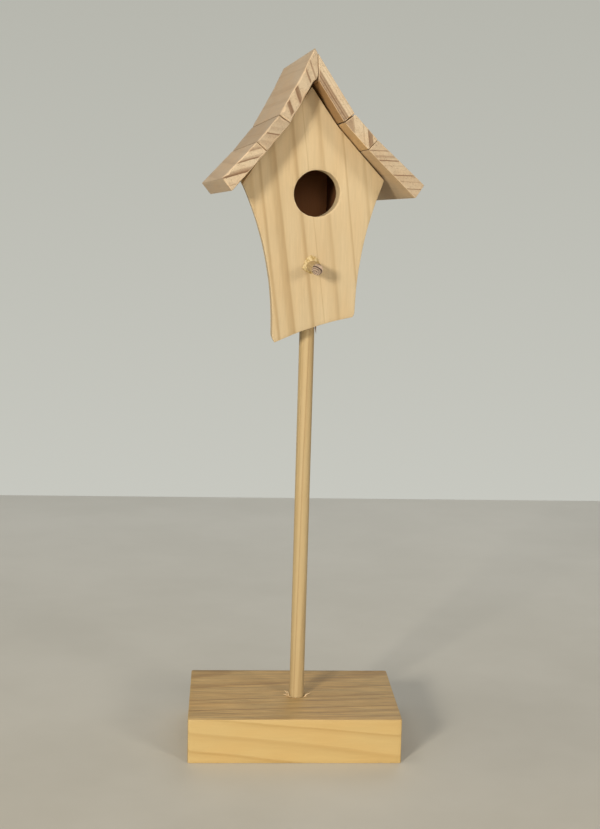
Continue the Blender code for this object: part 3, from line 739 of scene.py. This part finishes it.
def dried_glue():
    """Amber glue, cloudy and partly glossy."""
    g = Graph("dried glue")
    spot = g.vector("SCALE", g.node("ShaderNodeTexCoord").outputs["Object"], scale=1.0 / METRE)
    tone = g.noise(spot, 0.7, 3.0, 0.55)
    amber = g.ramp(tone, [(0.35, (0.38, 0.25, 0.08)), (0.65, (0.66, 0.52, 0.28))])
    g.wire(amber, g.shader.inputs["Base Color"])
    g.wire(g.span(tone, 0.3, 0.7, 0.12, 0.3), g.shader.inputs["Roughness"])
    g.shader.inputs["Coat Weight"].default_value = 0.4
    return g.material


glue = dried_glue()


# ------------------------------------------------------------------ pieces
def angle_at(x, y, degrees):
    """How far a point is turned from a direction about the origin, in degrees."""
    return abs((math.degrees(math.atan2(y, x)) - degrees + 180) % 360 - 180)


base_corners = [(x * BASE[0] / 2, y * BASE[1] / 2)
                for x, y in ((-1, -1), (1, -1), (1, 1), (-1, 1))]
base_shape = slab(base_corners, BASE[2],
                  holes=[(round_loop(POLE_FOOT.x, POLE_FOOT.y, POLE_RADIUS + 0.12, 40),
                          (0.1, 0.5), 0.1, SOCKET_DEPTH, (0, 0))],
                  step=1.2, inner=2.2, rows=10, ease=(0.15, 0.25), waver=0.10, relief=0.05,
                  seed=3, passes=1, side_relief=0.03)
add_piece("base", base_shape, Matrix.Translation((0, 0, BASE[2] / 2)), [base_top, base_side],
          "base_block")

pole_length = SOCKET_DEPTH + POLE_REACH + POLE_INSIDE
add_piece("pole", rod(POLE_RADIUS, pole_length, 64, 90, seed=5),
          along(POLE_FOOT - pole_direction * SOCKET_DEPTH, pole_direction),
          [dowel_end, dowel_side], "pole_dowel")

front_place = house @ panel_place(1)
hole_x, perch_x = PANEL_SHIFT + HOLE_SHIFT, PANEL_SHIFT + PERCH_SHIFT


def torn_rim(x, y, side):
    """Fibres the drill tore out of the front edge of the entrance, most at its lower right."""
    dx, dy = x - hole_x, y - HOLE_RISE
    if side < 1 or math.hypot(dx, dy) > HOLE_RADIUS + 1.6:
        return 0.0
    torn = 0.2 + 0.8 * max(0.0, 1 - angle_at(dx, dy, -20) / 100)
    return torn * (0.15 + 1.1 * wave(x, y, 0, 0.55, 44) ** 2)


front_shape = slab(front_outline(), PANEL_THICKNESS,
                   holes=[(round_loop(hole_x, HOLE_RISE, HOLE_RADIUS - 0.15, 190), (0.05, 0.25),
                           0.25, None, (-BORE_STRAY, -math.tan(PANEL_LEAN))),
                          (round_loop(perch_x, PERCH_RISE, PERCH_RADIUS + 0.15, 36),
                           (0.1, 0.1), 0.1, None, (0, -math.tan(PANEL_LEAN - PERCH_DROOP)))],
                   step=0.7, inner=1.4, rows=6, ease=(0.12, 0.3), waver=0.12, relief=0.05,
                   seed=11, passes=1, extra=torn_rim)
add_piece("front", front_shape, front_place, [front_face, panel_edge], "front_panel")

perch_way = house.to_3x3() @ Vector((0, -math.cos(PERCH_DROOP), -math.sin(PERCH_DROOP)))
perch_foot = front_place @ Vector((perch_x, PERCH_RISE, PANEL_THICKNESS / 2))
add_piece("perch", rod(PERCH_RADIUS, PERCH_OUT + PERCH_IN, 48, 14, ends=(0.05, 0.05),
                       waver=0.06, seed=8, dish=0.25),
          along(perch_foot - perch_way * PERCH_IN, perch_way), [dowel_end, dowel_side],
          "perch_dowel")


def glue_bead():
    """A low uneven bead round the perch, fullest above it and at its left."""
    shape = bmesh.new()
    count, rings = 72, []
    for i in range(count):
        turn = math.tau * i / count
        x, y = math.cos(turn), math.sin(turn)
        full = 0.35 + 0.65 * max(0.0, 1 - angle_at(x, y, 100) / 70)
        full = max(full, 0.3 + 0.6 * max(0.0, 1 - angle_at(x, y, 190) / 45))
        lump = full * (0.8 + 0.4 * wave(3 * x, 3 * y, 0, 1.2, 21))
        reach, tall = 0.25 + 1.75 * lump, 0.25 + 1.5 * lump
        foot = PERCH_RADIUS + 0.03
        section = [(foot, -0.2), (foot + reach, -0.2), (foot + reach, 0.02),
                   (foot + 0.8 * reach, 0.22 * tall), (foot + 0.5 * reach, 0.45 * tall),
                   (foot + 0.2 * reach, 0.8 * tall), (foot, tall)]
        rings.append([shape.verts.new((x * r, y * r, z)) for r, z in section])
    for i in range(count):
        a, b = rings[i], rings[(i + 1) % count]
        for k in range(len(a)):
            m = (k + 1) % len(a)
            shape.faces.new((a[k], b[k], b[m], a[m]))
    bmesh.ops.recalc_face_normals(shape, faces=shape.faces)
    return shape


glue_place = front_place @ Matrix.Translation((perch_x, PERCH_RISE, PANEL_THICKNESS / 2))
add_piece("glue_bead", glue_bead(), glue_place, [glue], "perch_glue", sharp=70)

add_piece("back", slab(back_outline(), PANEL_THICKNESS, step=1.0, inner=2.0, rows=4, seed=13,
                       ease=(0.2, 0.5), waver=0.15, far_face=2),
          house @ panel_place(-1), [inside_painted_shade, panel_edge, back_face], "back_panel")
for side_name, side in (("left_wall", -1), ("right_wall", 1)):
    faces = [back_face, panel_edge, wall_inside_painted_shade][::side]
    add_piece(side_name + "_board", slab(wall_outline(), WALL_THICKNESS, step=1.2, inner=2.4,
                                         rows=3, seed=17 + side, far_face=2),
              house @ wall_place(side), faces, side_name)
floor_place = house @ Matrix.Translation((0, 0, FLOOR_RISE + FLOOR_THICKNESS / 2))
add_piece("floor", slab(floor_outline(), FLOOR_THICKNESS, step=1.0, inner=2.0, rows=3, seed=23,
                        holes=[(round_loop(0, 0, POLE_RADIUS + 0.4, 32), (0.1, 0.2), 0.05,
                                None, (0, 0))]),
          floor_place, [inside_painted_shade, panel_edge], "floor_board")


def roof_section(side_name, side, index, lower):
    """One roof board's cross-section, run counter-clockwise: index 0 is the board at the ridge
    and index 2 the one at the eave."""
    outer, inner_line = roof_profile(lower)
    quad = [Vector(outer[index]), Vector(outer[index + 1]), Vector(inner_line[index + 1]),
            Vector(inner_line[index])]
    run = (quad[1] - quad[0]).normalized()
    before = JOINT_GAPS.get((side_name, index - 1), 0.0) / 2
    after = EAVE_TRIM if index == 2 else JOINT_GAPS.get((side_name, index), 0.0) / 2
    quad = [quad[0] + run * before, quad[1] - run * after, quad[2] - run * after,
            quad[3] + run * before]
    if index == 0:
        ridge, below = Vector(outer[0]), Vector(inner_line[0])
        lap = RIDGE_LAP + (LAP_GAP if side == 1 else 0.0)
        drop = lap * math.tan(UPPER_BOARD[1])
        if side == 1:
            quad[0], quad[3] = ridge + Vector((lap, -drop)), below + Vector((lap, -drop))
        else:
            # the outer edge swells up to the crown, and the inner corner is blunt
            crown = ridge + Vector((CROWN[0] - CROWN_INSET, CROWN[1] - CROWN_INSET))
            swell = ridge + run * CROWN_RUN * 0.5 + Vector((0.3, 0.18))
            quad = [crown, swell, ridge + run * CROWN_RUN, *quad[1:3],
                    below + Vector((0.9, -1.4)), below + Vector((-0.2, -0.75)),
                    below + Vector((-lap, 0.9)), ridge + Vector((-lap, -drop))]
    section = [(RIDGE_SHIFT + side * p.x, p.y) for p in quad]
    return section[::-side]


upright = Matrix.Rotation(math.radians(90), 4, "X")
for side_name, side, lower in (("left", -1, LOWER_LEFT_BOARD), ("right", 1, LOWER_RIGHT_BOARD)):
    for index, level in enumerate(("upper", "middle", "lower")):
        title = f"roof_{side_name}_{level}"
        shape = slab(roof_section(side_name, side, index, lower), ROOF_DEPTH - ROOF_TRIM,
                     step=0.7, inner=0.9, rows=46, seed=31 + 3 * index + side,
                     ease=(0.12, 1.6 if side == -1 else 0.35), waver=0.10, relief=0.12,
                     side_relief=0.06, passes=1)
        for face in shape.faces:
            if face.material_index == 1 and face.normal.y < -0.3:
                face.material_index = 2      # the underside, which gets the painted shade
        add_piece(title + "_board", shape, house @ upright, roof_look[title], title)


def splinters():
    """Fibres torn up round the pole's foot when it was pushed in."""
    shape = bmesh.new()
    chance = random.Random(4)
    for degrees, reach, rise in ((-8, 3.0, 1.5), (10, 2.2, 0.7), (172, 1.7, 2.2), (200, 1.4, 2.6),
                                 (225, 1.8, 0.8), (185, 2.4, 0.6), (262, 1.2, 0.7),
                                 (150, 1.5, 1.1), (330, 1.4, 0.5)):
        turn = math.radians(degrees)
        way = Vector((math.cos(turn), math.sin(turn), 0))
        start = Vector((POLE_FOOT.x, POLE_FOOT.y, BASE[2] - 0.25)) + way * (POLE_RADIUS + 0.3)
        end = start + way * reach + Vector((chance.uniform(-0.3, 0.3), 0, rise))
        sliver(shape, start, end, chance.uniform(0.6, 1.1), 0.22, Vector((0, 0, 1)))
    bmesh.ops.recalc_face_normals(shape, faces=shape.faces)
    return shape


chip = timber("torn pine", (0.86, 0.68, 0.42), (0.7, 0.5, 0.26), (1, 0, 0), (0, 0.7, 0.7),
              (0, 0.7, -0.7), pitch=0.8, pith=20, fibre=0.08, bump=0.05)
add_piece("base_splinters", splinters(), Matrix.Identity(4), [chip], None, sharp=30)


def foot_shred():
    """A thin shred that hangs behind the front panel's foot, against the pole's right side."""
    shape = bmesh.new()
    sliver(shape, Vector((3.35, -2.0, 3.4)), Vector((3.55, -2.0, -1.9)), 0.75, 0.5,
           Vector((0, 1, 0)))
    bmesh.ops.recalc_face_normals(shape, faces=shape.faces)
    return shape


# The shred is painted dark brown.
shred = timber("dark brown shred", (0.28, 0.17, 0.09), (0.17, 0.10, 0.05), (0, 0, 1), (1, 0, 0),
               (0, 1, 0), pitch=0.5, pith=20, fibre=0.2, bump=0.1)
add_piece("foot_shred", foot_shred(), house, [shred], None, sharp=30)

# ------------------------------------------------------------------ floor, light and camera
FLOOR_HALF_WIDTH, FLOOR_HALF_DEPTH, FLOOR_MIDDLE = 1.6, 1.0, -0.49     # in metres
ground = bmesh.new()
bmesh.ops.create_grid(ground, x_segments=4, y_segments=4, size=1.0)
bmesh.ops.scale(ground, vec=(FLOOR_HALF_WIDTH, FLOOR_HALF_DEPTH, 1.0), verts=ground.verts)
bmesh.ops.translate(ground, vec=(0.0, FLOOR_MIDDLE, 0.0), verts=ground.verts)
ground_mesh = bpy.data.meshes.new("studio floor")
ground.to_mesh(ground_mesh)
ground.free()
plain = Graph("studio floor")     # mottled, and painted lighter further back: painted light
floor_spot = plain.node("ShaderNodeTexCoord").outputs["Object"]
mottle = plain.noise(floor_spot, 9.0, 4.0, 0.6)
near_tone = plain.ramp(mottle, [(0.3, (0.475, 0.445, 0.37)), (0.7, (0.52, 0.49, 0.415))])
far_painted_light_tone = plain.ramp(mottle, [(0.3, (0.68, 0.67, 0.60)), (0.7, (0.72, 0.71, 0.64))])
apart = plain.node("ShaderNodeSeparateXYZ", {"Vector": floor_spot})
plain.wire(plain.mix(plain.span(apart.outputs["Y"], -0.12, 0.42, 0.0, 1.0), near_tone, far_painted_light_tone),
           plain.shader.inputs["Base Color"])
plain.shader.inputs["Roughness"].default_value = 0.6
ground_mesh.materials.append(plain.material)
studio_floor = bpy.data.objects.new("studio floor", ground_mesh)
bpy.context.scene.collection.objects.link(studio_floor)


def soft_light(name, azimuth, elevation, distance, size, watts, colour):
    """A square area light, azimuth in degrees left of the front, aimed at the house."""
    target = Vector((0.0, 0.0, 0.2))
    turn, rise = math.radians(azimuth), math.radians(elevation)
    way = Vector((-math.sin(turn) * math.cos(rise), -math.cos(turn) * math.cos(rise),
                  math.sin(rise)))
    lamp = bpy.data.lights.new(name, "AREA")
    lamp.size, lamp.energy, lamp.color = size, watts, colour
    made = bpy.data.objects.new(name, lamp)
    made.location = target + way * distance
    made.rotation_euler = (-way).to_track_quat("-Z", "Y").to_euler()
    bpy.context.scene.collection.objects.link(made)


for light in (("left soft light", 29, 13, 1.3, 0.20, 12.2, (1.0, 0.94, 0.84)),
              ("right soft light", -38, 12, 1.3, 0.26, 5.4, (1.0, 0.95, 0.86)),
              ("front fill light", -2, 12, 1.5, 0.5, 3.6, (1.0, 0.94, 0.84)),
              ("ceiling light", 80, 68, 1.5, 0.8, 4.8, (1.0, 0.96, 0.88)),
              ("rear fill light", 200, 35, 1.6, 0.8, 3.5, (1.0, 0.96, 0.88))):
    soft_light(*light)

# the air lights every side evenly, and looks like a wall that darkens upwards, that darkening
# being painted shade
world = bpy.data.worlds.new("studio air")
bpy.context.scene.world = world
world.use_nodes = True
air = world.node_tree
add, link = air.nodes.new, air.links.new
lit = air.nodes["Background"]
lit.inputs["Color"].default_value = (0.80, 0.83, 0.88, 1.0)
lit.inputs["Strength"].default_value = 0.25
shown = add("ShaderNodeBackground")
slope = add("ShaderNodeValToRGB")
split = add("ShaderNodeSeparateXYZ")
heading = add("ShaderNodeTexCoord")
link(heading.outputs["Generated"], split.inputs["Vector"])
stretch = add("ShaderNodeMapRange")
stretch.inputs["From Min"].default_value = -0.30
stretch.inputs["From Max"].default_value = 0.15
link(split.outputs["Z"], stretch.inputs["Value"])
link(stretch.outputs["Result"], slope.inputs["Fac"])
slope.color_ramp.elements[0].color = (0.60, 0.605, 0.555, 1.0)
slope.color_ramp.elements[1].color = (0.47, 0.47, 0.42, 1.0)
link(slope.outputs["Color"], shown.inputs["Color"])
either = add("ShaderNodeMixShader")
path = add("ShaderNodeLightPath")
link(path.outputs["Is Camera Ray"], either.inputs["Fac"])
link(lit.outputs["Background"], either.inputs[1])
link(shown.outputs["Background"], either.inputs[2])
link(either.outputs["Shader"], air.nodes["World Output"].inputs["Surface"])

CAMERA_PLACE = Vector((-0.03035, -0.59082, 0.2308))      # in metres
CAMERA_YAW, CAMERA_PITCH, CAMERA_ROLL = math.radians(3.03), math.radians(8.41), math.radians(1.19)
SENSOR_HEIGHT, FOCAL_LENGTH = 36.0, 60.8
ahead = Vector((math.sin(CAMERA_YAW) * math.cos(CAMERA_PITCH),
                math.cos(CAMERA_YAW) * math.cos(CAMERA_PITCH), -math.sin(CAMERA_PITCH)))
level = Vector((math.cos(CAMERA_YAW), -math.sin(CAMERA_YAW), 0.0))
above = level.cross(ahead)
aside = math.cos(CAMERA_ROLL) * level + math.sin(CAMERA_ROLL) * above
over = math.cos(CAMERA_ROLL) * above - math.sin(CAMERA_ROLL) * level
lens = bpy.data.cameras.new("camera")
lens.sensor_fit = "VERTICAL"
lens.sensor_height = SENSOR_HEIGHT
lens.lens = FOCAL_LENGTH
lens.clip_start = 0.01
eye = bpy.data.objects.new("camera", lens)
eye.matrix_world = Matrix.Translation(CAMERA_PLACE) @ Matrix(
    (aside, over, -ahead)).transposed().to_4x4()
bpy.context.scene.collection.objects.link(eye)
bpy.context.scene.camera = eye
bpy.context.scene.view_settings.view_transform = "Standard"
